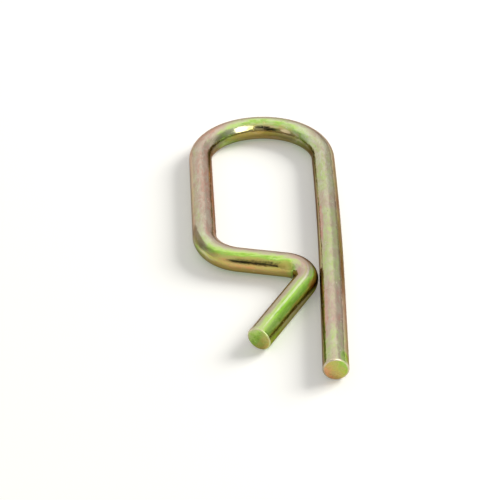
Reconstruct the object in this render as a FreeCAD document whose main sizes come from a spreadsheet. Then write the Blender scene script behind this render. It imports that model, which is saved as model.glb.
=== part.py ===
# Wire retaining clip: one length of round spring wire, bent in one plane.
#
# The long leg goes through the cross hole of a pin or shaft. The wire then turns back over a round
# crown, and its short arm is bent in at the heel and out again at the grip, so that the pocket
# between the grip and the crown snaps over the outside of the shaft. The flare past the grip is
# the lead-in that spreads the clip when it is pushed on, and the tab that a finger pulls.
#
# The clip lies flat, as it comes to rest on a table. Z is up, the long leg runs along Y with its
# free end towards -Y, and the short arm is on the -X side. The origin is under the middle of the
# clip, on the surface that it lies on. Sizes are in millimetres and degrees.
import FreeCAD, Part
import math
import os
import Sketcher

CLIP = "wire_clip"
OUTPUT_FOLDER = "parts"

# Every size that the clip is made from, with what it measures.
SIZES = {
    "wire_dia": (4.76, "diameter of the round wire"),
    "pin_straight": (23.5, "straight free end of the long leg, which goes through the hole"),
    "leg_length": (68.6, "long leg, from its free end to where the crown begins"),
    "bow_radius": (1200.0, "gentle bow of the long leg above its straight end"),
    "crown_radius": (14.1, "centre-line radius of the crown, on the long leg's side"),
    "crown_turn": (102.0, "angle that the wire turns at the crown radius"),
    "shoulder_radius": (10.9, "centre-line radius of the crown, on the short arm's side"),
    "arm_lean": (3.8, "angle by which the short arm leans in towards the long leg"),
    "arm_length": (27.7, "straight of the short arm, from the crown to the heel"),
    "heel_radius": (9.35, "centre-line radius of the bend at the heel"),
    "cross_slope": (15.0, "angle of the run from the heel to the grip, down from square"),
    "grip_radius": (4.85, "centre-line radius of the tight bend that grips the shaft"),
    "grip_gap": (0.2, "gap between the grip and the long leg with nothing held"),
    "flare_angle": (28.2, "angle between the flare and the long leg"),
    "flare_length": (17.4, "straight of the flare, from the grip to its cut end"),
    "end_round": (0.3, "radius that softens the rim of each cut end"),
}


def size(name):
    """Return the number behind one named size."""
    return SIZES[name][0]


def add_size_sheet(doc):
    """Write every size into a spreadsheet, where its alias is what the features refer to."""
    sheet = doc.addObject("Spreadsheet::Sheet", "Sizes")
    for row, (name, (value, meaning)) in enumerate(SIZES.items(), start=1):
        sheet.set("A%d" % row, meaning)
        sheet.set("B%d" % row, str(value))
        sheet.setAlias("B%d" % row, name)
    doc.recompute()
    return sheet


def origin_plane(body, role):
    """Return one of a body's own origin planes, such as XY_Plane."""
    return next(item for item in body.Origin.OriginFeatures if item.Role == role)


def add_sketch(body, name, role):
    """Add an empty sketch that lies on one of the body's origin planes."""
    sketch = body.newObject("Sketcher::SketchObject", name)
    sketch.AttachmentSupport = [(origin_plane(body, role), "")]
    sketch.MapMode = "FlatFace"
    return sketch


def bind(sketch, kind, where, value, name, formula):
    """Add a named dimension to a sketch and tie it to the size sheet."""
    index = sketch.addConstraint(Sketcher.Constraint(kind, *where, value))
    sketch.renameConstraint(index, name)
    sketch.setExpression("Constraints." + name, formula)


class Pen:
    """Draws a chain of lines and arcs in a sketch, each one tangent to the one before.

    The pen has a place and a heading, so that the chain is drawn where its dimensions put it.
    """

    START, END, CENTRE = 1, 2, 3

    def __init__(self, sketch, heading):
        self.sketch = sketch
        self.place = FreeCAD.Vector(0, 0, 0)
        self.heading = math.radians(heading)
        self.last = None

    def line(self, length):
        """Draw a straight run ahead and return its number in the sketch."""
        ahead = FreeCAD.Vector(math.cos(self.heading), math.sin(self.heading), 0)
        finish = self.place + ahead * length
        run = self.sketch.addGeometry(Part.LineSegment(self.place, finish), False)
        self._join(run, self.START, self.END)
        self.place = finish
        return run

    def arc(self, radius, turn):
        """Draw a bend, to the left where the turn is positive, and return its number."""
        side = math.copysign(1.0, turn)
        outward = FreeCAD.Vector(math.sin(self.heading), -math.cos(self.heading), 0) * side
        centre = self.place - outward * radius
        begin = math.atan2(outward.y, outward.x)
        finish = begin + math.radians(turn)
        circle = Part.Circle(centre, FreeCAD.Vector(0, 0, 1), radius)
        low, high = sorted((begin, finish))
        bend = self.sketch.addGeometry(Part.ArcOfCircle(circle, low, high), False)
        if side > 0:
            self._join(bend, self.START, self.END)
        else:
            self._join(bend, self.END, self.START)
        self.place = centre + FreeCAD.Vector(math.cos(finish), math.sin(finish), 0) * radius
        self.heading += math.radians(turn)
        return bend

    def _join(self, piece, near_end, far_end):
        """Tie the near end of a new piece to the far end of the last one, tangentially."""
        if self.last is None:
            self.sketch.addConstraint(Sketcher.Constraint("Coincident", piece, near_end, -1, 1))
        else:
            self.sketch.addConstraint(Sketcher.Constraint("Tangent", *self.last, piece, near_end))
        self.last = (piece, far_end)


def cross_run_length(pen):
    """Return how long the run to the grip is, for the grip to stop short of the long leg."""
    grip_offset = size("grip_radius") + size("wire_dia") + size("grip_gap")
    to_centre = FreeCAD.Vector(math.sin(pen.heading), -math.cos(pen.heading), 0) * size("grip_radius")
    return (-grip_offset - pen.place.x - to_centre.x) / math.cos(pen.heading)


def draw_centre_line(body):
    """Sketch the wire's centre line, from the free end of the long leg to the end of the flare."""
    sketch = add_sketch(body, "CentreLine", "XY_Plane")
    pen = Pen(sketch, heading=90.0)

    pin = pen.line(size("pin_straight"))
    sketch.addConstraint(Sketcher.Constraint("Vertical", pin))
    bind(sketch, "Distance", [pin], size("pin_straight"), "pin_straight", "Sizes.pin_straight")

    bow_rise = size("leg_length") - size("pin_straight")
    bow_turn = math.degrees(math.asin(bow_rise / size("bow_radius")))
    bow = pen.arc(size("bow_radius"), bow_turn)
    bind(sketch, "Radius", [bow], size("bow_radius"), "bow_radius", "Sizes.bow_radius")
    bind(sketch, "DistanceY", [-1, 1, bow, Pen.END], size("leg_length"), "leg_length", "Sizes.leg_length")

    crown = pen.arc(size("crown_radius"), size("crown_turn"))
    bind(sketch, "Radius", [crown], size("crown_radius"), "crown_radius", "Sizes.crown_radius")
    bind(sketch, "Angle", [crown], math.radians(size("crown_turn")), "crown_turn", "Sizes.crown_turn")

    shoulder_turn = 180 + size("arm_lean") - size("crown_turn") - bow_turn
    shoulder = pen.arc(size("shoulder_radius"), shoulder_turn)
    bind(sketch, "Radius", [shoulder], size("shoulder_radius"), "shoulder_radius", "Sizes.shoulder_radius")

    arm = pen.line(size("arm_length"))
    arm_heading = math.radians(size("arm_lean") - 90)
    bind(sketch, "Distance", [arm], size("arm_length"), "arm_length", "Sizes.arm_length")
    bind(sketch, "Angle", [arm], arm_heading, "arm_heading", "Sizes.arm_lean - 90")

    heel = pen.arc(size("heel_radius"), 90 - size("arm_lean") - size("cross_slope"))
    bind(sketch, "Radius", [heel], size("heel_radius"), "heel_radius", "Sizes.heel_radius")

    cross = pen.line(cross_run_length(pen))
    cross_heading = math.radians(-size("cross_slope"))
    bind(sketch, "Angle", [cross], cross_heading, "cross_heading", "-Sizes.cross_slope")

    grip = pen.arc(size("grip_radius"), size("cross_slope") - size("flare_angle") - 90)
    grip_offset = size("grip_radius") + size("wire_dia") + size("grip_gap")
    bind(sketch, "Radius", [grip], size("grip_radius"), "grip_radius", "Sizes.grip_radius")
    bind(sketch, "Distance", [grip, Pen.CENTRE, pin], grip_offset, "grip_offset",
         "Sizes.grip_radius + Sizes.wire_dia + Sizes.grip_gap")

    flare = pen.line(size("flare_length"))
    flare_heading = math.radians(-90 - size("flare_angle"))
    bind(sketch, "Distance", [flare], size("flare_length"), "flare_length", "Sizes.flare_length")
    bind(sketch, "Angle", [flare], flare_heading, "flare_heading", "-90 - Sizes.flare_angle")
    return sketch


def draw_section(body):
    """Sketch the round section of the wire, square to the free end of the long leg."""
    sketch = add_sketch(body, "WireSection", "XZ_Plane")
    radius = size("wire_dia") / 2
    circle = Part.Circle(FreeCAD.Vector(0, 0, 0), FreeCAD.Vector(0, 0, 1), radius)
    ring = sketch.addGeometry(circle, False)
    sketch.addConstraint(Sketcher.Constraint("Coincident", ring, Pen.CENTRE, -1, 1))
    bind(sketch, "Radius", [ring], radius, "wire_radius", "Sizes.wire_dia / 2")
    return sketch


def cut_end_rims(shape):
    """Name the edges round the two flat cut ends of the wire."""
    flat_ends = [face for face in shape.Faces if isinstance(face.Surface, Part.Plane)]
    names = []
    for number, edge in enumerate(shape.Edges, start=1):
        if any(edge.isSame(rim) for face in flat_ends for rim in face.Edges):
            names.append("Edge%d" % number)
    return names


def build_clip(doc):
    """Sweep the wire along its centre line and soften the rims of its cut ends."""
    body = doc.addObject("PartDesign::Body", CLIP)
    body.Label = CLIP
    centre_line = draw_centre_line(body)
    section = draw_section(body)
    doc.recompute()

    wire = body.newObject("PartDesign::AdditivePipe", "BentWire")
    wire.Profile = section
    wire.Spine = centre_line
    doc.recompute()

    ends = body.newObject("PartDesign::Fillet", "SoftenedEnds")
    ends.Base = (wire, cut_end_rims(wire.Shape))
    ends.setExpression("Radius", "Sizes.end_round")
    doc.recompute()
    return body


def lay_flat(doc, body):
    """Lift the clip onto the table and put the origin under the middle of its outline."""
    outline = body.Shape.optimalBoundingBox(False, False)
    middle = outline.Center
    body.Placement = FreeCAD.Placement(FreeCAD.Vector(-middle.x, -middle.y, 0), FreeCAD.Rotation())
    body.setExpression("Placement.Base.z", "Sizes.wire_dia / 2")
    doc.recompute()


def check_model(doc, body):
    """Stop with a plain message where a feature failed or the clip isn't one sound solid."""
    for item in doc.Objects:
        if "Invalid" in item.State or "Error" in item.State:
            raise RuntimeError("%s did not build: %s" % (item.Label, ", ".join(item.State)))
    shape = body.Shape
    if shape.isNull() or not shape.isValid() or len(shape.Solids) != 1:
        raise RuntimeError("%s is not one valid solid" % body.Label)


def report(body):
    """Print the clip's main measures, and its volume against section times length."""
    centre_line = body.getObject("CentreLine").Shape
    section_area = math.pi * size("wire_dia") ** 2 / 4
    outline = body.Shape.optimalBoundingBox(False, False)
    print("%s: %.2f x %.2f x %.2f mm" % (body.Label, outline.XLength, outline.YLength, outline.ZLength))
    print("wire length %.2f mm, volume %.2f of %.2f mm3" % (
        centre_line.Length, body.Shape.Volume, centre_line.Length * section_area))


def main():
    """Build the clip as a parametric document and write its solid."""
    doc = FreeCAD.newDocument("WireClip")
    add_size_sheet(doc)
    body = build_clip(doc)
    lay_flat(doc, body)
    check_model(doc, body)
    report(body)
    os.makedirs(OUTPUT_FOLDER, exist_ok=True)
    body.Shape.exportStep(os.path.join(OUTPUT_FOLDER, body.Label + ".step"))


main()
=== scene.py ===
"""Dressed scene of the hook-up wire clip: its bent wire, its chromate film, the studio and the camera.

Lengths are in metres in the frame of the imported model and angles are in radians, apart from the patterns and
spots of the film, which are in millimetres and degrees, and the room's lights and patches, which are in
degrees. Colours are linear. A point's place along the wire is 0 at the long leg's end and 1 at the flare's.
"""

import logging
import math
from dataclasses import dataclass
from enum import Enum

import bpy
from mathutils import Matrix, Vector

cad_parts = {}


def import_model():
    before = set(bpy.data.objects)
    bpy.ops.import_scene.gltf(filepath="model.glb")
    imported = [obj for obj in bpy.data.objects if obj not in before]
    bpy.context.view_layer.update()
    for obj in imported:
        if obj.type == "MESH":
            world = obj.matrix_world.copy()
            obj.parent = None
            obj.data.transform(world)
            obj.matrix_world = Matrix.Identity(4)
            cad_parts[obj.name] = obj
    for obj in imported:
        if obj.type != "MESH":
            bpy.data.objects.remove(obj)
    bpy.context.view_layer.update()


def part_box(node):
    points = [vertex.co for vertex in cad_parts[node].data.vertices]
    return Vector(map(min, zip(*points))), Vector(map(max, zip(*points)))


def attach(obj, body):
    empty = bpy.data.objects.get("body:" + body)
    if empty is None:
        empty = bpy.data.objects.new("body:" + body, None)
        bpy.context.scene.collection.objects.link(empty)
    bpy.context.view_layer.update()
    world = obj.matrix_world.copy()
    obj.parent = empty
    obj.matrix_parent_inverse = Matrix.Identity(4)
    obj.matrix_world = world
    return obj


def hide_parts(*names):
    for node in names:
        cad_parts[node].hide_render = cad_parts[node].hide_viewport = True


MM = 0.001
NODE = "wire_clip"
LOG = logging.getLogger("wire_clip_scene")

# Middle of a range from 0 to 1, which noise has on average.
MIDDLE = 0.5

Socket = bpy.types.NodeSocket
Outputs = bpy.types.NodeOutputs
Colour = tuple[float, float, float, float]
Curve = tuple[tuple[float, float], ...]
WHITE: Colour = (1.0, 1.0, 1.0, 1.0)


def tint(red: int, green: int, blue: int) -> Colour:
    """Turn a colour as a painter names it, 0 to 255 a channel, into Blender's linear one.

    Args:
        red: Red, 0 to 255.
        green: Green, 0 to 255.
        blue: Blue, 0 to 255.

    Returns:
        The linear colour with full alpha.
    """
    top, knee, slope, offset, power = 255.0, 0.04045, 12.92, 0.055, 2.4
    shares = (channel / top for channel in (red, green, blue))
    linear = (s / slope if s <= knee else ((s + offset) / (1.0 + offset)) ** power for s in shares)
    return (*linear, 1.0)


class WireAttribute(str, Enum):
    """The values that the sweep leaves on the wire's surface for its finishes."""

    COORDS = "wire_coords"
    SIDE = "plating_side"
    RIM = "rim_wear"
    BEND = "bend_radius"
    CUT = "cut_face"


class NodeBench:
    """Makes and joins the nodes of one shader or geometry tree."""

    # Where the nodes stand in the editor.
    COLUMN = 190.0
    ROW = 170.0
    ROWS = 12
    # A Mix node's sockets for colours, by number because other kinds of its sockets share their names.
    MIX_SHARE, MIX_FIRST, MIX_SECOND, MIX_RESULT = 0, 6, 7, 2
    CELLS_PER_UNIT = 1.0

    def __init__(self, tree: bpy.types.NodeTree) -> None:
        """Start with an empty tree."""
        self.tree = tree
        tree.nodes.clear()

    def add(self, kind: str, **settings: object) -> bpy.types.Node:
        """Add a node.

        Args:
            kind: Blender's name of the node's type.
            settings: The node's own properties.

        Returns:
            The new node.
        """
        node = self.tree.nodes.new(kind)
        count = len(self.tree.nodes)
        node.location = (self.COLUMN * (count // self.ROWS), -self.ROW * (count % self.ROWS))
        for name, value in settings.items():
            setattr(node, name, value)
        return node

    def put(self, kind: str, feeds: dict[str, object], **settings: object) -> bpy.types.Node:
        """Add a node and feed its inputs.

        Args:
            kind: Blender's name of the node's type.
            feeds: An output or a plain value by the name of each input.
            settings: The node's own properties.

        Returns:
            The new node.
        """
        node = self.add(kind, **settings)
        for name, source in feeds.items():
            self.feed(node.inputs[name], source)
        return node

    def feed(self, socket: Socket, source: object) -> None:
        """Link an output to a socket, or set the socket's own value.

        Args:
            socket: The input socket.
            source: An output or a plain value.
        """
        if isinstance(source, Socket):
            self.tree.links.new(source, socket)
        else:
            socket.default_value = source

    def calc(self, operation: str, *sources: object, clamp: bool = False) -> Socket:
        """Add a Math node.

        Args:
            operation: The Math node's operation.
            sources: Outputs or numbers, in the order of the node's inputs.
            clamp: Whether the result is kept between 0 and 1.

        Returns:
            The node's output.
        """
        node = self.add("ShaderNodeMath", operation=operation, use_clamp=clamp)
        for socket, source in zip(node.inputs, sources):
            self.feed(socket, source)
        return node.outputs[0]

    def times(self, first: object, second: object) -> Socket:
        """Multiply two numbers."""
        return self.calc("MULTIPLY", first, second)

    def plus(self, first: object, second: object) -> Socket:
        """Add two numbers."""
        return self.calc("ADD", first, second)

    def minus(self, first: object, second: object) -> Socket:
        """Subtract the second number from the first."""
        return self.calc("SUBTRACT", first, second)

    def vector(self, operation: str, *sources: object) -> Socket:
        """Add a Vector Math node.

        Args:
            operation: The node's operation.
            sources: Outputs or vectors, in the order of the node's inputs.

        Returns:
            The node's vector, or its number for a dot product.
        """
        node = self.add("ShaderNodeVectorMath", operation=operation)
        for socket, source in zip(node.inputs, sources):
            self.feed(socket, source)
        return node.outputs["Value" if operation == "DOT_PRODUCT" else "Vector"]

    def scaled(self, source: object, factor: object) -> Socket:
        """Multiply a vector by a number."""
        feeds = {"Vector": source, "Scale": factor}
        return self.put("ShaderNodeVectorMath", feeds, operation="SCALE").outputs["Vector"]

    def split(self, source: object) -> Outputs:
        """Split a vector into X, Y and Z."""
        return self.put("ShaderNodeSeparateXYZ", {"Vector": source}).outputs

    def join(self, x: object, y: object, z: object = 0.0) -> Socket:
        """Join three numbers into a vector."""
        return self.put("ShaderNodeCombineXYZ", {"X": x, "Y": y, "Z": z}).outputs["Vector"]

    def rest(self, share: object) -> Socket:
        """What a share leaves of 1."""
        return self.minus(1.0, share)

    def span(self, source: object, low: float, high: float, to_low: float = 0.0,
             to_high: float = 1.0) -> Socket:
        """Map a number from one range to another, easing in and out and held at both ends."""
        feeds = {"Value": source, "From Min": low, "From Max": high, "To Min": to_low, "To Max": to_high}
        return self.put("ShaderNodeMapRange", feeds, interpolation_type="SMOOTHSTEP").outputs["Result"]

    def noise(self, place: object, detail: float, roughness: float, warp: float) -> Socket:
        """Add a noise texture.

        Args:
            place: The coordinates, whose unit is one cell.
            detail: Number of finer layers.
            roughness: Weight of the finer layers.
            warp: How far the pattern is bent by itself.

        Returns:
            The noise, about 0.5 on average.
        """
        feeds = {"Vector": place, "Scale": self.CELLS_PER_UNIT, "Detail": detail, "Roughness": roughness,
                 "Distortion": warp}
        return self.put("ShaderNodeTexNoise", feeds).outputs[0]

    def blend(self, share: object, first: object, second: object) -> Socket:
        """Mix two colours.

        Args:
            share: Weight of the second colour.
            first: The first colour.
            second: The second colour.

        Returns:
            The mixed colour.
        """
        node = self.add("ShaderNodeMix", data_type="RGBA", clamp_factor=True)
        for place, source in ((self.MIX_SHARE, share), (self.MIX_FIRST, first), (self.MIX_SECOND, second)):
            self.feed(node.inputs[place], source)
        return node.outputs[self.MIX_RESULT]

    def ramp(self, source: object, stops: tuple[tuple[float, Colour], ...]) -> Socket:
        """Add a colour ramp.

        Args:
            source: The number, 0 to 1.
            stops: Place and colour of each stop, in order.

        Returns:
            The ramp's colour.
        """
        node = self.add("ShaderNodeValToRGB")
        elements = node.color_ramp.elements
        while len(elements) < len(stops):
            elements.new(1.0)
        for element, (place, colour) in zip(elements, stops):
            element.position = place
            element.color = colour
        self.feed(node.inputs[0], source)
        return node.outputs["Color"]

    def curve(self, source: object, points: Curve) -> Socket:
        """Add a smooth curve through points.

        Args:
            source: The number, 0 to 1.
            points: Place and value of each point, in order, from place 0 to place 1.

        Returns:
            The curve's value.
        """
        node = self.add("ShaderNodeFloatCurve")
        line = node.mapping.curves[0]
        while len(line.points) < len(points):
            line.points.new(MIDDLE, MIDDLE)
        for point, (place, value) in zip(line.points, points):
            point.location = (place, value)
        node.mapping.update()
        self.feed(node.inputs["Value"], source)
        return node.outputs["Value"]

    def attribute(self, name: WireAttribute) -> bpy.types.Node:
        """Add a shader node that reads one of the wire's own values."""
        return self.add("ShaderNodeAttribute", attribute_type="GEOMETRY", attribute_name=name.value)


class Group:
    """A shader node group with named inputs and outputs, built once."""

    def __init__(self, name: str, inputs: dict[str, object], outputs: dict[str, str]) -> None:
        """Make the group's tree and its sockets.

        Args:
            name: The group's name.
            inputs: Each input's name, and its default value or a socket type.
            outputs: Each output's name and socket type.
        """
        self.tree = bpy.data.node_groups.new(name, "ShaderNodeTree")
        for label, value in inputs.items():
            kind = value if isinstance(value, str) else "NodeSocketFloat"
            socket = self.tree.interface.new_socket(name=label, in_out="INPUT", socket_type=kind)
            if not isinstance(value, str):
                socket.default_value = value
        for label, kind in outputs.items():
            self.tree.interface.new_socket(name=label, in_out="OUTPUT", socket_type=kind)
        self.bench = NodeBench(self.tree)
        self.inputs = self.bench.add("NodeGroupInput").outputs
        self.outputs = self.bench.add("NodeGroupOutput").inputs

    def place(self, bench: NodeBench, **values: object) -> bpy.types.Node:
        """Put the group into a material.

        Args:
            bench: The material's bench.
            values: Inputs by name, with _ for each space.

        Returns:
            The group's node.
        """
        node = bench.add("ShaderNodeGroup", node_tree=self.tree)
        for name, value in values.items():
            bench.feed(node.inputs[name.replace("_", " ")], value)
        return node


@dataclass(frozen=True)
class Pattern:
    """One noise pattern on the wire, with the width and length of its cells in millimetres."""

    across: float
    along: float
    detail: float
    roughness: float
    warp: float = 0.0

    def noise(self, bench: NodeBench, coords: object) -> Socket:
        """Add the pattern's noise, about 0.5 on average, at the wire's own coordinates."""
        cells = (1.0 / (self.across * MM), 1.0 / (self.across * MM), 1.0 / (self.along * MM))
        return bench.noise(bench.vector("MULTIPLY", coords, cells), self.detail, self.roughness, self.warp)


class FinishGroups:
    """The effects that both finishes of the wire share."""

    PATCHES = Pattern(2.5, 5.2, 4.0, 0.6, 1.6)
    STREAKS = Pattern(0.6, 3.2, 3.0, 0.6, 0.5)
    THREADS = Pattern(1.1, 3.0, 4.0, 0.6, 0.8)
    FLANK_BREAKS = Pattern(1.4, 9.0, 2.0, 0.6)
    DRAWN_LINES = Pattern(0.2, 3.0, 2.0, 0.6)
    WAVES = Pattern(1.3, 2.2, 2.0, 0.5)
    DULL_PLACES = Pattern(0.9, 9.0, 2.0, 0.5, 0.4)
    RAGGED_EDGES = Pattern(0.9, 2.2, 4.0, 0.7)
    NICKS = Pattern(0.32, 0.6, 1.0, 0.5)
    NICKED_PLACES = Pattern(3.0, 6.0, 1.0, 0.5)
    FILM_COLOURS = (
        (0.00, tint(190, 188, 178)),
        (0.14, tint(204, 192, 146)),
        (0.28, tint(206, 168, 92)),
        (0.40, tint(196, 146, 100)),
        (0.50, tint(202, 150, 132)),
        (0.58, tint(190, 164, 146)),
        (0.64, tint(188, 180, 142)),
        (0.69, tint(184, 196, 130)),
        (0.75, tint(174, 208, 96)),
        (0.79, tint(138, 182, 52)),
        (0.84, tint(168, 174, 76)),
        (0.90, tint(178, 164, 80)),
        (0.96, tint(188, 156, 86)),
        (1.00, tint(206, 146, 92)),
    )
    MILK_COLOUR = tint(210, 211, 188)
    # Painted shade: the dark brown laid on faces turned to the right and on sides towards the loop's inside.
    PAINTED_SHADE_COLOUR = tint(116, 92, 68)
    WORN_COLOUR = tint(226, 212, 178)
    UNEVEN_GAIN = 2.0
    INNER_BREAKS = 0.2
    RIM_WEAR = 0.5
    LINE_SHARE = 0.1
    RAGGED_GAIN = 1.6
    THREAD_RANGE = (0.4, 0.64, 0.28)
    BREAK_RANGE = (0.3, 0.6, 0.5)
    DULL_RANGE = (0.35, 0.68)
    NICK_RANGE = (0.68, 0.76)
    NICKED_RANGE = (0.45, 0.65)
    SPOT_EDGE = (1.1, 0.3)
    # Directions from the wire's axis: +X is right, +Y is back and +Z is up.
    RUN_OFF_WAY = (-0.1, -1.0, 0.0)
    DRAINED_BACK = (-0.2, 0.65)
    BEHIND_BACK = (0.15, 0.5)
    BEHIND_LOW = (0.78, 0.4)
    FLANK_RIGHT = (0.5, 0.82)
    FLANK_RIGHTMOST = (1.0, 0.9, 0.45)
    DULL_RIGHT = (0.5, 0.9, 0.0, 0.75)
    # Distance from the wire's axis towards the inside of the loop.
    INNER_SIDE = (1.75 * MM, 2.3 * MM)

    def __init__(self) -> None:
        """Build each group once."""
        self.film = self._film()
        self.grain = self._grain()
        self.marks = self._marks()
        self.stain = self._stain()

    def _thickness(self, bench: NodeBench, given: Outputs) -> Socket:
        """Work out how thick the film is.

        Args:
            bench: The film's bench.
            given: The film's inputs.

        Returns:
            The thickness, 0 to 1.
        """
        downward = bench.vector("DOT_PRODUCT", given["Side"], self.RUN_OFF_WAY)
        patches = bench.minus(self.PATCHES.noise(bench, given["Coords"]), MIDDLE)
        streaks = bench.minus(self.STREAKS.noise(bench, given["Coords"]), MIDDLE)
        uneven = bench.plus(bench.times(patches, given["Patches"]), bench.times(streaks, given["Streaks"]))
        drift = bench.plus(bench.times(uneven, self.UNEVEN_GAIN), given["Shift"])
        run_off = bench.times(downward, given["Run Off"])
        return bench.calc("ADD", bench.plus(given["Thickness"], run_off), drift, clamp=True)

    def _milk(self, bench: NodeBench, given: Outputs, facing: Outputs) -> Socket:
        """Work out where the film is milky: in threads, and on the backs from which it drained.

        Args:
            bench: The film's bench.
            given: The film's inputs.
            facing: Direction from the wire's axis.

        Returns:
            1 where it is milky, 0 where it is clear.
        """
        threads = bench.span(self.THREADS.noise(bench, given["Coords"]), *self.THREAD_RANGE)
        bloom = bench.times(threads, given["Bloom"])
        drained = bench.times(bench.span(facing["Y"], *self.DRAINED_BACK), given["Drained"])
        behind = bench.times(bench.span(facing["Y"], *self.BEHIND_BACK),
                             bench.span(facing["Z"], *self.BEHIND_LOW))
        return bench.calc("MAXIMUM", bloom, bench.times(drained, bench.rest(behind)))

    def _film(self) -> Group:
        """Colour of the chromate film by its thickness, which drifts round and along the wire, with painted
        shade that darkens faces turned to the right and sides towards the loop's inside.

        Returns:
            The group.
        """
        group = Group("chromate_film",
                      {"Coords": "NodeSocketVector", "Side": "NodeSocketVector", "Thickness": 0.6,
                       "Run Off": 0.4, "Patches": 0.12, "Streaks": 0.1, "Shift": 0.0, "Bloom": 0.3,
                       "Flank": 0.6, "Inner": 0.6, "Drained": 0.0, "Rim": 0.0},
                      {"Color": "NodeSocketColor", "Gloss": "NodeSocketFloat", "Milk": "NodeSocketFloat"})
        bench, given = group.bench, group.inputs
        facing = bench.split(given["Side"])
        milk = self._milk(bench, given, facing)
        clear = bench.ramp(self._thickness(bench, given), self.FILM_COLOURS)
        colour = bench.blend(milk, clear, self.MILK_COLOUR)
        # Painted shade: faces turned to the right and sides towards the loop's inside are darkened brown,
        # broken up by noise, to stand for dark reflections and shadow.
        outer = bench.times(bench.span(facing["X"], *self.FLANK_RIGHT),
                            bench.span(facing["X"], *self.FLANK_RIGHTMOST))
        inner = bench.times(bench.span(bench.split(given["Coords"])["X"], *self.INNER_SIDE), given["Inner"])
        broken = bench.span(self.FLANK_BREAKS.noise(bench, given["Coords"]), *self.BREAK_RANGE)
        painted_outer_shade = bench.times(bench.times(outer, broken), given["Flank"])
        painted_inner_shade = bench.times(inner, bench.plus(broken, self.INNER_BREAKS))
        colour = bench.blend(bench.calc("MAXIMUM", painted_outer_shade, painted_inner_shade), colour, self.PAINTED_SHADE_COLOUR)
        colour = bench.blend(bench.times(given["Rim"], self.RIM_WEAR), colour, self.WORN_COLOUR)
        dull = bench.calc("MAXIMUM", inner, bench.span(facing["X"], *self.DULL_RIGHT))
        bench.feed(group.outputs["Color"], colour)
        bench.feed(group.outputs["Gloss"], bench.rest(dull))
        bench.feed(group.outputs["Milk"], milk)
        return group

    def _grain(self) -> Group:
        """Fine lines that the drawing die left along the wire.

        Returns:
            The group.
        """
        group = Group("drawn_grain", {"Coords": "NodeSocketVector"},
                      {"Height": "NodeSocketFloat", "Haze": "NodeSocketFloat"})
        bench, coords = group.bench, group.inputs["Coords"]
        lines = bench.times(self.DRAWN_LINES.noise(bench, coords), self.LINE_SHARE)
        waves = bench.times(self.WAVES.noise(bench, coords), 1.0 - self.LINE_SHARE)
        bench.feed(group.outputs["Height"], bench.plus(lines, waves))
        bench.feed(group.outputs["Haze"], bench.span(self.DULL_PLACES.noise(bench, coords), *self.DULL_RANGE))
        return group

    def _stain(self) -> Group:
        """One long spot on the wire, which places film stains, dull patches and painted light.

        Returns:
            The group.
        """
        group = Group("film_spot_mask",
                      {"Coords": "NodeSocketVector", "Middle": 0.0, "Reach": 5.0 * MM, "Turn X": 0.0,
                       "Turn Y": 1.0, "Spread": 0.1},
                      {"Mask": "NodeSocketFloat"})
        bench, given = group.bench, group.inputs
        place = bench.split(given["Coords"])
        along = bench.calc("DIVIDE", bench.minus(place["Z"], given["Middle"]), given["Reach"])
        way = bench.vector("NORMALIZE", bench.join(place["X"], place["Y"]))
        facing = bench.vector("DOT_PRODUCT", way, bench.join(given["Turn X"], given["Turn Y"]))
        around = bench.calc("DIVIDE", bench.rest(facing), given["Spread"])
        ragged = bench.minus(self.RAGGED_EDGES.noise(bench, given["Coords"]), MIDDLE)
        away = bench.plus(bench.times(along, along), around)
        away = bench.plus(away, bench.times(ragged, self.RAGGED_GAIN))
        bench.feed(group.outputs["Mask"], bench.span(away, *self.SPOT_EDGE))
        return group

    def _marks(self) -> Group:
        """Small nicks and rubbed spots from handling in bulk.

        Returns:
            The group.
        """
        group = Group("handling_marks", {"Coords": "NodeSocketVector"},
                      {"Nicks": "NodeSocketFloat", "Height": "NodeSocketFloat"})
        bench, coords = group.bench, group.inputs["Coords"]
        nicks = bench.times(bench.span(self.NICKS.noise(bench, coords), *self.NICK_RANGE),
                            bench.span(self.NICKED_PLACES.noise(bench, coords), *self.NICKED_RANGE))
        bench.feed(group.outputs["Nicks"], nicks)
        bench.feed(group.outputs["Height"], bench.times(nicks, -1.0))
        return group


@dataclass(frozen=True)
class Stain:
    """A spot where the film is thicker or thinner by its gain.

    Its place along the wire and its reach are in millimetres. Its turn, from straight up towards the left of
    the wire's heading, and its spread are in degrees.
    """

    along: float
    turn: float
    reach: float
    spread: float
    gain: float

    def mask(self, bench: NodeBench, group: Group, coords: Socket) -> Socket:
        """Place the spot.

        Args:
            bench: The material's bench.
            group: The shared spot.
            coords: The wire's own coordinates.

        Returns:
            1 inside the spot, 0 outside.
        """
        turn = math.radians(self.turn)
        node = group.place(bench, Coords=coords, Middle=self.along * MM, Reach=self.reach * MM,
                           Turn_X=math.sin(turn), Turn_Y=math.cos(turn),
                           Spread=1.0 - math.cos(math.radians(self.spread)))
        return node.outputs["Mask"]


@dataclass(frozen=True)
class BlemishOrPaintedLight(Stain):
    """A spot of its own colour, whose gain is the share of that colour: some are film that came out dull or
    was rubbed, others are painted dark reflections, painted shade, painted glints and painted highlights.
    """

    # Dark brown, for dull film and for painted dark reflections.
    colour: Colour = tint(112, 82, 60)
    haze: float = 0.3


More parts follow.
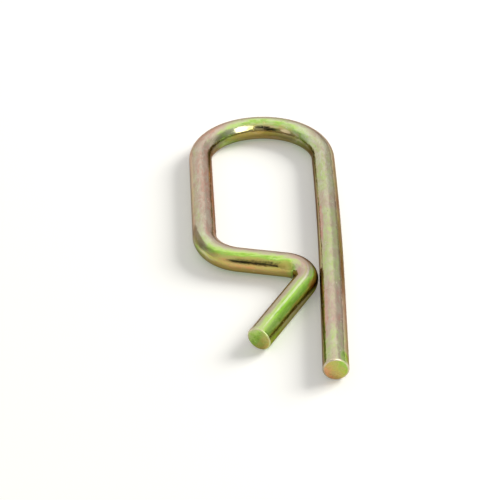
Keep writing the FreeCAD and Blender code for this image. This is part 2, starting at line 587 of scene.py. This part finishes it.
@dataclass(frozen=True)
class PlatedFinish:
    """Bright zinc under a yellow chromate film, with curves that give a value by the place along the wire; two
    curves weight painted shade on the wire's sides, and some spots are painted light.
    """

    name: str
    thickness: float
    run_off: float
    patches: float
    streaks: float
    bloom: float
    roughness: tuple[float, float]
    bump: float
    bump_depth: float = 0.1 * MM
    coat: float = 0.4
    coat_roughness: float = 0.06
    drained: float = 0.75
    milk_haze: float = 0.34
    rim_haze: float = 0.42
    nick_share: float = 0.6
    nick_colour: Colour = tint(222, 214, 190)
    edge_tint: Colour = tint(170, 142, 122)
    length: float = 183.9 * MM
    band_gain: float = 0.5
    bands: Curve = ((0.0, 0.5), (1.0, 0.5))
    blooms: Curve = ((0.0, 1.0), (1.0, 1.0))
    # How much painted shade darkens, by place, the sides towards the loop's inside, whose coat it also dulls,
    # and the faces turned to the right.
    inner_painted_shade_and_dullness: Curve = ((0.0, 0.0), (1.0, 0.0))
    painted_flank_shade: Curve = ((0.0, 0.0), (1.0, 0.0))
    stains: tuple[Stain, ...] = ()
    blemishes_and_painted_light: tuple[BlemishOrPaintedLight, ...] = ()
    slant: tuple[float, float, float] = (0.0, 0.0, 0.0)

    def _shift(self, bench: NodeBench, groups: FinishGroups, coords: Socket, place: Socket) -> Socket:
        """Thickness that the film gains along the wire, in bands, across it, along the slant, and in stains.

        Args:
            bench: The material's bench.
            groups: The shared effects.
            coords: The wire's own coordinates.
            place: The place along the wire.

        Returns:
            The gain.
        """
        band = bench.minus(bench.curve(place, self.bands), MIDDLE)
        across = bench.vector("DOT_PRODUCT", coords, tuple(value / MM for value in self.slant))
        shift = bench.plus(bench.times(band, self.band_gain), across)
        for stain in self.stains:
            shift = bench.calc("MULTIPLY_ADD", stain.mask(bench, groups.stain, coords), stain.gain, shift)
        return shift

    def material(self, groups: FinishGroups) -> bpy.types.Material:
        """Build the finish.

        Args:
            groups: The shared effects.

        Returns:
            The material.
        """
        material = bpy.data.materials.new(self.name)
        material.use_nodes = True
        bench = NodeBench(material.node_tree)
        coords = bench.attribute(WireAttribute.COORDS).outputs["Vector"]
        side = bench.attribute(WireAttribute.SIDE).outputs["Vector"]
        rim = bench.attribute(WireAttribute.RIM).outputs["Fac"]
        place = bench.calc("DIVIDE", bench.split(coords)["Z"], self.length, clamp=True)
        bloom = bench.times(bench.curve(place, self.blooms), self.bloom)
        film = groups.film.place(bench, Coords=coords, Side=side, Rim=rim, Thickness=self.thickness,
                                 Shift=self._shift(bench, groups, coords, place), Run_Off=self.run_off,
                                 Patches=self.patches, Streaks=self.streaks, Bloom=bloom,
                                 Drained=self.drained, Flank=bench.curve(place, self.painted_flank_shade),
                                 Inner=bench.curve(place, self.inner_painted_shade_and_dullness)).outputs
        grain = groups.grain.place(bench, Coords=coords).outputs
        marks = groups.marks.place(bench, Coords=coords).outputs
        colour = bench.blend(bench.times(marks["Nicks"], self.nick_share), film["Color"], self.nick_colour)
        low, high = self.roughness
        haze = bench.plus(bench.times(grain["Haze"], high - low), low)
        # Spots of their own colour: some are dull or rubbed film, others are painted dark reflections, painted
        # shade, painted glints and painted highlights.
        for blemish_or_light in self.blemishes_and_painted_light:
            share = bench.times(blemish_or_light.mask(bench, groups.stain, coords), blemish_or_light.gain)
            colour = bench.blend(share, colour, blemish_or_light.colour)
            haze = bench.calc("MAXIMUM", haze, bench.times(share, blemish_or_light.haze))
        haze = bench.calc("MAXIMUM", haze, bench.times(rim, self.rim_haze))
        haze = bench.calc("MAXIMUM", haze, bench.times(film["Milk"], self.milk_haze))
        bump = bench.put("ShaderNodeBump", {"Strength": self.bump, "Distance": self.bump_depth,
                                            "Height": bench.plus(grain["Height"], marks["Height"])})
        shader = bench.put("ShaderNodeBsdfPrincipled",
                           {"Base Color": colour, "Metallic": 1.0, "Specular Tint": self.edge_tint,
                            "Coat Weight": bench.times(film["Gloss"], self.coat),
                            "Coat Roughness": self.coat_roughness, "Roughness": haze,
                            "Normal": bump.outputs["Normal"]})
        bench.put("ShaderNodeOutputMaterial", {"Surface": shader.outputs["BSDF"]})
        return material


@dataclass(frozen=True)
class Bend:
    """One bend of the wire."""

    radius: float
    turn: float

    @property
    def reach(self) -> float:
        """Length from the bend's corner to either end of its arc."""
        return self.radius * math.tan(abs(self.turn) / 2.0)


@dataclass(frozen=True)
class SweepDetail:
    """How finely the wire's surface is divided, and the share of a cut face that its smallest ring takes."""

    sides: int = 96
    ring_spacing: float = 0.25 * MM
    face_rings: int = 14
    rim_rings: int = 8
    arc_points: int = 128
    smallest_ring: float = 0.02


@dataclass
class BentWire:
    """The clip's one piece of round wire, bent in one plane from the long leg's end to the flare's."""

    wire_dia: float = 4.76 * MM
    pin_straight: float = 23.5 * MM
    leg_length: float = 68.6 * MM
    bow_radius: float = 1200.0 * MM
    crown_radius: float = 14.1 * MM
    crown_turn: float = math.radians(102.0)
    shoulder_radius: float = 10.9 * MM
    arm_lean: float = math.radians(3.8)
    arm_length: float = 27.7 * MM
    heel_radius: float = 9.35 * MM
    cross_slope: float = math.radians(15.0)
    grip_radius: float = 4.85 * MM
    grip_gap: float = 0.2 * MM
    flare_angle: float = math.radians(28.2)
    flare_length: float = 17.4 * MM
    end_round: float = 0.3 * MM
    face_crown: float = 0.05 * MM
    detail: SweepDetail = SweepDetail()

    def bends(self) -> tuple[Bend, ...]:
        """Work out the bends.

        Returns:
            The bow, crown, shoulder, heel and grip, in order along the wire.
        """
        bow_turn = math.asin((self.leg_length - self.pin_straight) / self.bow_radius)
        shoulder_turn = math.pi + self.arm_lean - self.crown_turn - bow_turn
        heel_turn = math.pi / 2.0 - self.arm_lean - self.cross_slope
        grip_turn = math.pi / 2.0 + self.flare_angle - self.cross_slope
        return (Bend(self.bow_radius, bow_turn), Bend(self.crown_radius, self.crown_turn),
                Bend(self.shoulder_radius, shoulder_turn), Bend(self.heel_radius, heel_turn),
                Bend(self.grip_radius, -grip_turn))

    def cross_run(self, offset: float, heading: float) -> float:
        """Length of the run to the grip, from the heel's offset, so that the bend ends a gap off the leg."""
        grip_centre = -(self.grip_radius + self.wire_dia + self.grip_gap)
        return (grip_centre - offset - self.grip_radius * math.sin(heading)) / math.cos(heading)

    def corners(self, tip: Vector) -> list[tuple[Vector, float]]:
        """Corners of the centre line before its bends are rounded.

        Args:
            tip: Centre of the long leg's cut end.

        Returns:
            Each corner and the radius of its bend, with radius 0 at both ends.
        """
        # The straight before each bend. The last one follows from the place that it starts at.
        straights = (self.pin_straight, 0.0, 0.0, self.arm_length, None)
        line = [(tip.copy(), 0.0)]
        place = tip.copy()
        heading = math.pi / 2.0
        for straight, bend in zip(straights, self.bends()):
            if straight is None:
                straight = self.cross_run(place.x - tip.x, heading)
            ahead = Vector((math.cos(heading), math.sin(heading), 0.0))
            corner = place + ahead * (straight + bend.reach)
            heading += bend.turn
            ahead = Vector((math.cos(heading), math.sin(heading), 0.0))
            place = corner + ahead * bend.reach
            line.append((corner, bend.radius))
        line.append((place + ahead * self.flare_length, 0.0))
        return line

    def guide(self, tip: Vector) -> bpy.types.Object:
        """Make the line of corners that the sweep follows.

        Args:
            tip: Centre of the long leg's cut end.

        Returns:
            An object of edges, with each corner's bend radius.
        """
        line = self.corners(tip)
        mesh = bpy.data.meshes.new("bend_line")
        mesh.from_pydata([point for point, _ in line], [(i, i + 1) for i in range(len(line) - 1)], [])
        radii = mesh.attributes.new(WireAttribute.BEND.value, "FLOAT", "POINT")
        radii.data.foreach_set("value", [radius for _, radius in line])
        guide = bpy.data.objects.new("bent_wire", mesh)
        bpy.context.scene.collection.objects.link(guide)
        return guide

    def _sweep_sockets(self, tree: bpy.types.NodeTree) -> dict[str, str]:
        """Give the sweep's tree its sockets.

        Args:
            tree: The geometry tree.

        Returns:
            Each input's name and its identifier.
        """
        kinds = {"Guide": "Geometry", "Wire Diameter": "Float", "Ring Spacing": "Float", "Sides": "Int",
                 "Face Rings": "Int", "Rim Rings": "Int", "Arc Points": "Int", "End Round": "Float",
                 "Face Crown": "Float", "Wire Finish": "Material", "Cut Finish": "Material"}
        names = {}
        for name, kind in kinds.items():
            socket = tree.interface.new_socket(name=name, in_out="INPUT", socket_type="NodeSocket" + kind)
            names[name] = socket.identifier
        tree.interface.new_socket(name="Wire", in_out="OUTPUT", socket_type="NodeSocketGeometry")
        return names

    def _ring_fields(self, bench: NodeBench, given: Outputs, length: Socket) -> dict[str, Socket]:
        """Work out, for each ring of the straight bar, where it goes along the wire and how wide it is.

        Args:
            bench: The tree's bench.
            given: The tree's inputs.
            length: Length of the centre line.

        Returns:
            Fields by name: the number of steps, each ring's length along the wire, radius and share of rim,
            its count from the nearer end, and the point's own x and y across the bar.
        """
        calc, plus, minus, times = bench.calc, bench.plus, bench.minus, bench.times
        end_depth = plus(given["Face Crown"], given["End Round"])
        body = minus(length, times(end_depth, 2.0))
        body_steps = calc("CEIL", calc("DIVIDE", body, given["Ring Spacing"]))
        end_steps = plus(given["Face Rings"], given["Rim Rings"])
        steps = plus(body_steps, times(end_steps, 2.0))
        place = bench.split(bench.add("GeometryNodeInputPosition").outputs["Position"])
        ring = calc("ROUND", plus(place["Z"], times(steps, 0.5)))
        nearest = calc("MINIMUM", ring, minus(steps, ring))
        on_face = calc("DIVIDE", nearest, given["Face Rings"], clamp=True)
        past_face = minus(nearest, given["Face Rings"])
        round_share = calc("DIVIDE", past_face, given["Rim Rings"], clamp=True)
        round_angle = times(round_share, math.pi / 2.0)
        flat_radius = minus(times(given["Wire Diameter"], 0.5), given["End Round"])
        face_share = calc("MAXIMUM", on_face, self.detail.smallest_ring)
        radius = plus(times(flat_radius, face_share), times(given["End Round"], calc("SINE", round_angle)))
        depth = plus(times(given["Face Crown"], times(on_face, on_face)),
                     times(given["End Round"], bench.rest(calc("COSINE", round_angle))))
        body_share = calc("DIVIDE", minus(ring, end_steps), body_steps, clamp=True)
        far_end = calc("GREATER_THAN", ring, times(steps, 0.5))
        from_far = minus(minus(length, body), depth)
        end_part = plus(depth, times(far_end, minus(from_far, depth)))
        along = plus(end_part, times(body_share, body))
        rim = calc("SINE", times(round_share, math.pi))
        return {"steps": steps, "along": along, "radius": radius, "rim": rim, "nearest": nearest,
                "across x": place["X"], "across y": place["Y"]}

    def sweep_tree(self) -> tuple[bpy.types.NodeTree, dict[str, str]]:
        """Build the tree that rounds the guide's corners and bends a straight bar along it.

        Returns:
            The tree, and each input's name with its identifier.
        """
        tree = bpy.data.node_groups.new("bent_wire_sweep", "GeometryNodeTree")
        names = self._sweep_sockets(tree)
        bench = NodeBench(tree)
        given = bench.add("NodeGroupInput").outputs
        line = bench.put("GeometryNodeMeshToCurve", {"Mesh": given["Guide"]})
        radius = bench.put("GeometryNodeInputNamedAttribute", {"Name": WireAttribute.BEND.value},
                           data_type="FLOAT")
        fillet = bench.put("GeometryNodeFilletCurve",
                           {"Curve": line.outputs["Curve"], "Count": given["Arc Points"],
                            "Radius": radius.outputs["Attribute"]}, mode="POLY").outputs["Curve"]
        length = bench.put("GeometryNodeCurveLength", {"Curve": fillet}).outputs["Length"]
        ring = self._ring_fields(bench, given, length)
        bar = bench.put("GeometryNodeMeshCylinder",
                        {"Vertices": given["Sides"], "Side Segments": ring["steps"], "Radius": 1.0,
                         "Depth": ring["steps"]}, fill_type="TRIANGLE_FAN")
        sample = bench.put("GeometryNodeSampleCurve", {"Curves": fillet, "Length": ring["along"]},
                           mode="LENGTH", use_all_curves=True, data_type="FLOAT").outputs
        up = (0.0, 0.0, 1.0)
        left = bench.vector("NORMALIZE", bench.vector("CROSS_PRODUCT", up, sample["Tangent"]))
        side = bench.vector("ADD", bench.scaled(left, ring["across x"]), bench.scaled(up, ring["across y"]))
        coords = bench.join(bench.times(ring["across x"], ring["radius"]),
                            bench.times(ring["across y"], ring["radius"]), ring["along"])
        half_ring = 0.5
        on_cut = bench.calc("LESS_THAN", ring["nearest"], bench.plus(given["Face Rings"], half_ring))
        shape = bar.outputs["Mesh"]
        for name, kind, domain, value in ((WireAttribute.COORDS, "FLOAT_VECTOR", "POINT", coords),
                                          (WireAttribute.SIDE, "FLOAT_VECTOR", "POINT", side),
                                          (WireAttribute.RIM, "FLOAT", "POINT", ring["rim"]),
                                          (WireAttribute.CUT, "BOOLEAN", "FACE", on_cut)):
            shape = bench.put("GeometryNodeStoreNamedAttribute",
                              {"Geometry": shape, "Name": name.value, "Value": value},
                              data_type=kind, domain=domain).outputs["Geometry"]
        surface = bench.vector("ADD", sample["Position"], bench.scaled(side, ring["radius"]))
        cut = bench.put("GeometryNodeInputNamedAttribute", {"Name": WireAttribute.CUT.value},
                        data_type="BOOLEAN").outputs["Attribute"]
        for kind, feeds in (("GeometryNodeSetPosition", {"Position": surface}),
                            ("GeometryNodeSetShadeSmooth", {}),
                            ("GeometryNodeRealizeInstances", {}),
                            ("GeometryNodeSetMaterial", {"Material": given["Wire Finish"]}),
                            ("GeometryNodeSetMaterial", {"Material": given["Cut Finish"], "Selection": cut})):
            shape = bench.put(kind, {"Geometry": shape, **feeds}).outputs["Geometry"]
        bench.put("NodeGroupOutput", {"Wire": shape})
        return tree, names

    def build(self, wire_finish: bpy.types.Material, cut_finish: bpy.types.Material) -> bpy.types.Object:
        """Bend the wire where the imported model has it.

        Args:
            wire_finish: Finish of the wire's side.
            cut_finish: Finish of its two cut ends.

        Returns:
            The finished piece.
        """
        low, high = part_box(NODE)
        radius = self.wire_dia / 2.0
        piece = self.guide(Vector((high.x - radius, low.y, (low.z + high.z) / 2.0)))
        tree, names = self.sweep_tree()
        sweep = piece.modifiers.new("sweep", "NODES")
        sweep.node_group = tree
        detail = self.detail
        values = {"Wire Diameter": self.wire_dia, "End Round": self.end_round, "Face Crown": self.face_crown,
                  "Ring Spacing": detail.ring_spacing, "Sides": detail.sides, "Face Rings": detail.face_rings,
                  "Rim Rings": detail.rim_rings, "Arc Points": detail.arc_points,
                  "Wire Finish": wire_finish, "Cut Finish": cut_finish}
        for name, value in values.items():
            sweep[names[name]] = value
        depsgraph = bpy.context.evaluated_depsgraph_get()
        bent = piece.evaluated_get(depsgraph)
        solid = bpy.data.meshes.new_from_object(bent, preserve_all_data_layers=True, depsgraph=depsgraph)
        piece.modifiers.clear()
        piece.data = solid
        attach(piece, "root")
        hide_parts(NODE)
        return piece


def direction(azimuth: float, elevation: float) -> tuple[float, float, float]:
    """Turn two angles in degrees into a direction.

    Args:
        azimuth: Angle from -Y towards +X.
        elevation: Angle above the floor.

    Returns:
        The direction, of length 1.
    """
    turn = math.radians(azimuth)
    rise = math.radians(elevation)
    level = math.cos(rise)
    return (level * math.sin(turn), -level * math.cos(turn), math.sin(rise))


class LightUse(Enum):
    """What a soft box is hung for."""

    FLOOR = "lights the floor and casts the shadows"
    GLOSS = "shows as a highlight in the metal"


@dataclass(frozen=True)
class SoftLight:
    """One soft box that faces the clip, with its angles in degrees."""

    name: str
    azimuth: float
    elevation: float
    distance: float
    width: float
    height: float
    radiance: float
    use: LightUse

    def build(self, target: Vector) -> bpy.types.Object:
        """Hang the light.

        Args:
            target: The point that the light faces.

        Returns:
            The light.
        """
        data = bpy.data.lights.new(self.name, "AREA")
        data.shape = "RECTANGLE" if self.use is LightUse.FLOOR else "ELLIPSE"
        data.size = self.width
        data.size_y = self.height
        data.energy = self.radiance * math.pi * self.width * self.height
        light = bpy.data.objects.new(self.name, data)
        away = Vector(direction(self.azimuth, self.elevation))
        light.location = target + away * self.distance
        light.rotation_euler = away.to_track_quat("Z", "Y").to_euler()
        light.visible_diffuse = self.use is LightUse.FLOOR
        light.visible_glossy = self.use is LightUse.GLOSS
        bpy.context.scene.collection.objects.link(light)
        return light


@dataclass(frozen=True)
class RoomPatch:
    """A round patch of the room that is lighter or darker than the rest, with its angles in degrees."""

    azimuth: float
    elevation: float
    inner: float
    outer: float
    level: float

    def mask(self, bench: NodeBench, ways: Socket) -> Socket:
        """Weight of the patch by direction.

        Args:
            bench: The world's bench.
            ways: The direction from the clip.

        Returns:
            1 inside the inner angle, 0 past the outer one.
        """
        nearness = bench.vector("DOT_PRODUCT", ways, direction(self.azimuth, self.elevation))
        outer = math.cos(math.radians(self.outer))
        inner = math.cos(math.radians(self.inner))
        return bench.span(nearness, outer, inner)


@dataclass
class Studio:
    """Pale floor, plain room and soft lights."""

    floor_radius: float = 3.0
    floor_sides: int = 96
    floor_colour: Colour = tint(244, 242, 235)
    floor_roughness: float = 0.9
    floor_lift: float = 0.2
    fill_level: float = 0.5
    room_level: float = 0.95
    wall_level: float = 0.4
    wall_band: tuple[tuple[float, float], tuple[float, float]] = ((-0.04, 0.03), (0.14, 0.3))
    wall_side: tuple[float, float] = (-0.1, 0.35)
    patches: tuple[RoomPatch, ...] = (
        RoomPatch(110.0, 22.0, 15.0, 40.0, 0.8),
        RoomPatch(180.0, 72.0, 22.0, 48.0, 1.23),
        RoomPatch(70.0, 20.0, 18.0, 50.0, 0.4),
        RoomPatch(-95.0, 18.0, 14.0, 32.0, 0.6),
        RoomPatch(-4.0, 5.0, 20.0, 48.0, 0.45),
        RoomPatch(150.0, 22.0, 8.0, 24.0, 0.7),
        RoomPatch(-19.0, 40.0, 9.0, 16.0, 0.03),
        RoomPatch(-38.0, 20.0, 3.0, 12.0, 0.2),
        RoomPatch(-28.0, 18.0, 7.0, 14.0, 0.05),
    )
    boxes: tuple[SoftLight, ...] = (
        SoftLight("key_box", 116.0, 32.0, 1.0, 0.55, 0.5, 13.0, LightUse.FLOOR),
        SoftLight("front_box", 26.0, 36.0, 0.9, 0.6, 0.9, 2.6, LightUse.GLOSS),
    )

    def floor(self) -> bpy.types.Object:
        """Lay the floor.

        Returns:
            The floor.
        """
        sides = self.floor_sides
        turns = (2.0 * math.pi * i / sides for i in range(sides))
        ring = [(self.floor_radius * math.cos(a), self.floor_radius * math.sin(a), 0.0) for a in turns]
        mesh = bpy.data.meshes.new("studio_floor")
        mesh.from_pydata(ring, [], [tuple(range(sides))])
        floor = bpy.data.objects.new("studio_floor", mesh)
        bpy.context.scene.collection.objects.link(floor)
        material = bpy.data.materials.new("studio_floor_paper")
        material.use_nodes = True
        bench = NodeBench(material.node_tree)
        path = bench.add("ShaderNodeLightPath").outputs
        seen = bench.calc("ADD", path["Is Camera Ray"], path["Is Glossy Ray"], clamp=True)
        shader = bench.put("ShaderNodeBsdfPrincipled",
                           {"Base Color": self.floor_colour, "Roughness": self.floor_roughness,
                            "Specular IOR Level": 0.0, "Emission Color": WHITE,
                            "Emission Strength": bench.times(seen, self.floor_lift)})
        bench.put("ShaderNodeOutputMaterial", {"Surface": shader.outputs["BSDF"]})
        mesh.materials.append(material)
        return floor

    def room(self) -> None:
        """Surround the floor with a pale room that is dim on the camera's side."""
        world = bpy.data.worlds.new("studio_room")
        bpy.context.scene.world = world
        world.use_nodes = True
        bench = NodeBench(world.node_tree)
        ways = bench.add("ShaderNodeTexCoord").outputs["Generated"]
        way = bench.split(ways)
        foot, top = self.wall_band
        band = bench.minus(bench.span(way["Z"], *foot), bench.span(way["Z"], *top))
        wall = bench.times(bench.times(band, 1.0 - self.wall_level), bench.span(way["X"], *self.wall_side))
        level = bench.times(bench.rest(wall), self.room_level)
        for patch in self.patches:
            share = patch.mask(bench, ways)
            level = bench.plus(bench.times(level, bench.rest(share)), bench.times(share, patch.level))
        path = bench.add("ShaderNodeLightPath").outputs
        fill = bench.times(path["Is Diffuse Ray"], 1.0 - self.fill_level)
        level = bench.times(level, bench.rest(fill))
        seen = path["Is Camera Ray"]
        strength = bench.plus(bench.times(level, bench.rest(seen)), seen)
        background = bench.put("ShaderNodeBackground", {"Color": WHITE, "Strength": strength})
        bench.put("ShaderNodeOutputWorld", {"Surface": background.outputs["Background"]})

    def lights(self) -> list[bpy.types.Object]:
        """Hang the soft boxes."""
        target = Vector((0.0, 0.0, 0.0))
        return [box.build(target) for box in self.boxes]


@dataclass(frozen=True)
class PhotoCamera:
    """Camera at the photograph's viewing angle."""

    place: tuple[float, float, float] = (15.62 * MM, -272.29 * MM, 195.20 * MM)
    right: tuple[float, float, float] = (0.99715, 0.01365, -0.07416)
    ahead: tuple[float, float, float] = (-0.05451, 0.80991, -0.58401)
    lens: float = 122.4
    sensor: float = 36.0
    clip_start: float = 0.01
    clip_end: float = 20.0

    def build(self) -> bpy.types.Object:
        """Set the camera up.

        Returns:
            The camera.
        """
        data = bpy.data.cameras.new("photo_camera")
        data.lens = self.lens
        data.sensor_width = self.sensor
        data.clip_start = self.clip_start
        data.clip_end = self.clip_end
        camera = bpy.data.objects.new("photo_camera", data)
        back = -Vector(self.ahead).normalized()
        right = Vector(self.right).normalized()
        up = back.cross(right).normalized()
        right = up.cross(back)
        turn = Matrix((right, up, back)).transposed().to_4x4()
        camera.matrix_world = Matrix.Translation(Vector(self.place)) @ turn
        bpy.context.scene.collection.objects.link(camera)
        bpy.context.scene.camera = camera
        return camera


def wire_film() -> PlatedFinish:
    """Describe the finish of the wire's side.

    Returns:
        A bright film in bands, with spots where it pooled, came out dull or was rubbed, and with painted shade
        on its sides, painted dark reflections, a painted glint and painted highlights.
    """
    return PlatedFinish(
        "yellow_chromate_wire", thickness=0.62, run_off=0.29, patches=0.12, streaks=0.09, bloom=0.75,
        roughness=(0.07, 0.18), bump=0.8, slant=(-0.012, 0.0, 0.0),
        bands=((0.0, 0.5), (0.03, 0.56), (0.07, 0.44), (0.11, 0.46), (0.14, 0.58), (0.2, 0.6), (0.25, 0.58),
               (0.27, 0.46), (0.3, 0.58), (0.36, 0.56), (0.42, 0.54), (0.46, 0.64), (0.5, 0.62), (0.55, 0.4),
               (0.66, 0.4), (0.74, 0.46), (0.78, 0.54), (0.86, 0.52), (0.885, 0.42), (0.92, 0.66),
               (1.0, 0.68)),
        blooms=((0.0, 0.45), (0.14, 0.4), (0.26, 0.5), (0.34, 0.85), (0.42, 0.85), (0.46, 0.45), (0.5, 0.4),
                (0.56, 0.35), (0.6, 0.65), (0.7, 0.55), (0.75, 0.8), (0.79, 0.15), (0.85, 0.1), (0.9, 0.05),
                (1.0, 0.05)),
        # Painted shade by place along the wire: first on faces turned to the right, then on sides towards the
        # loop's inside.
        painted_flank_shade=((0.0, 0.0), (0.08, 0.05), (0.14, 0.75), (0.24, 0.75), (0.29, 0.4), (0.36, 0.25), (0.45, 0.1),
                (0.55, 0.0), (0.85, 0.0), (0.9, 0.2), (1.0, 0.2)),
        inner_painted_shade_and_dullness=((0.0, 0.5), (0.13, 0.55), (0.2, 0.75), (0.3, 0.8), (0.37, 0.7), (0.42, 0.4), (0.47, 0.3),
                (0.5, 0.0), (0.54, 0.05), (0.58, 0.4), (0.7, 0.45), (0.76, 0.65), (0.8, 0.3), (0.87, 0.2),
                (0.89, 0.2), (0.92, 0.1), (1.0, 0.05)),
        stains=(Stain(1.2, -44.0, 2.0, 26.0, 0.14), Stain(16.0, 38.0, 9.0, 17.0, -0.06),
                Stain(43.0, 40.0, 7.0, 16.0, -0.15), Stain(102.0, -4.0, 6.0, 30.0, -0.03),
                Stain(124.0, -62.0, 3.0, 24.0, 0.05), Stain(112.0, -60.0, 6.0, 24.0, -0.06),
                Stain(134.0, -66.0, 6.0, 30.0, -0.05), Stain(173.0, -35.0, 13.0, 36.0, -0.07),
                Stain(171.0, 84.0, 11.0, 28.0, 0.06), Stain(164.0, 62.0, 4.0, 44.0, 0.2)),
        # A dull patch on the heel and a darker streak down the long leg's right side, then a painted dark
        # reflection of the grip on the leg's side that faces it.
        blemishes_and_painted_light=(BlemishOrPaintedLight(139.0, -48.0, 4.6, 26.0, 0.75), BlemishOrPaintedLight(30.0, -50.0, 16.0, 9.0, 0.5),
                   BlemishOrPaintedLight(26.0, 62.0, 3.0, 26.0, 0.6),
                   # Painted shade: olive darkening on the crown's side towards the loop's inside, standing for
                   # the shadowed floor that it reflects.
                   BlemishOrPaintedLight(83.5, 80.0, 6.0, 30.0, 0.65, tint(92, 92, 34), 0.1),
                   BlemishOrPaintedLight(101.0, 80.0, 4.0, 32.0, 0.45, tint(92, 96, 34), 0.1),
                   BlemishOrPaintedLight(92.0, 90.0, 9.0, 26.0, 0.6, tint(136, 122, 30), 0.1),
                   # Painted glint: a pale spot on the crown, in place of a lamp.
                   BlemishOrPaintedLight(82.4, 61.0, 1.8, 10.0, 0.65, tint(232, 210, 164), 0.2),
                   BlemishOrPaintedLight(120.0, -62.0, 17.0, 24.0, 0.5, tint(226, 204, 180), 0.3),
                   BlemishOrPaintedLight(159.0, -56.0, 3.0, 28.0, 0.5, tint(196, 182, 96), 1.0),
                   # Paler film laid where the front lamp's highlight falls on the crown, so that the highlight
                   # shows white: a painted highlight tint.
                   BlemishOrPaintedLight(95.5, 54.0, 3.8, 20.0, 0.7, tint(208, 206, 176), 0.24),
                   BlemishOrPaintedLight(173.0, 40.0, 13.0, 16.0, 0.45, tint(122, 186, 36), 0.1),
                   BlemishOrPaintedLight(172.5, 26.0, 13.0, 7.0, 0.42, tint(146, 206, 56), 0.08),
                   BlemishOrPaintedLight(170.0, 4.0, 9.0, 6.0, 0.35, tint(158, 192, 84), 0.08),
                   BlemishOrPaintedLight(165.5, 58.0, 3.6, 18.0, 0.45, tint(184, 118, 60), 0.1),
                   BlemishOrPaintedLight(160.0, 76.0, 4.0, 20.0, 0.6, tint(220, 156, 84), 0.1),
                   # Painted reflection: a pale strip on the flare's side towards the long leg, standing for
                   # the pale floor that it reflects.
                   BlemishOrPaintedLight(173.0, 86.0, 9.0, 12.0, 0.5, tint(206, 200, 168), 0.1),
                   # Painted highlight: a near-white streak along the flare.
                   BlemishOrPaintedLight(171.0, 15.0, 12.0, 6.0, 0.42, tint(226, 236, 204), 0.1)))


def cut_film() -> PlatedFinish:
    """Describe the finish of the two cut ends.

    Returns:
        A duller film that is more golden to one side.
    """
    return PlatedFinish(
        "yellow_chromate_cut", thickness=0.88, run_off=0.0, patches=0.12, streaks=0.04, bloom=0.1,
        roughness=(0.24, 0.4), bump=0.4, drained=0.0, slant=(0.055, -0.03, 0.0),
        bands=((0.0, 0.54), (1.0, 0.36)))


def main() -> None:
    """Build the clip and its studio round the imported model."""
    logging.basicConfig(level=logging.INFO, format="%(message)s")
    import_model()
    bpy.context.scene.view_settings.view_transform = "Standard"
    PhotoCamera().build()
    groups = FinishGroups()
    wire = BentWire().build(wire_film().material(groups), cut_film().material(groups))
    LOG.info("%s: %d faces, replaces %s", wire.name, len(wire.data.polygons), NODE)
    studio = Studio()
    studio.floor()
    studio.room()
    for light in studio.lights():
        LOG.info("%s hung", light.name)


if __name__ == "__main__":
    main()
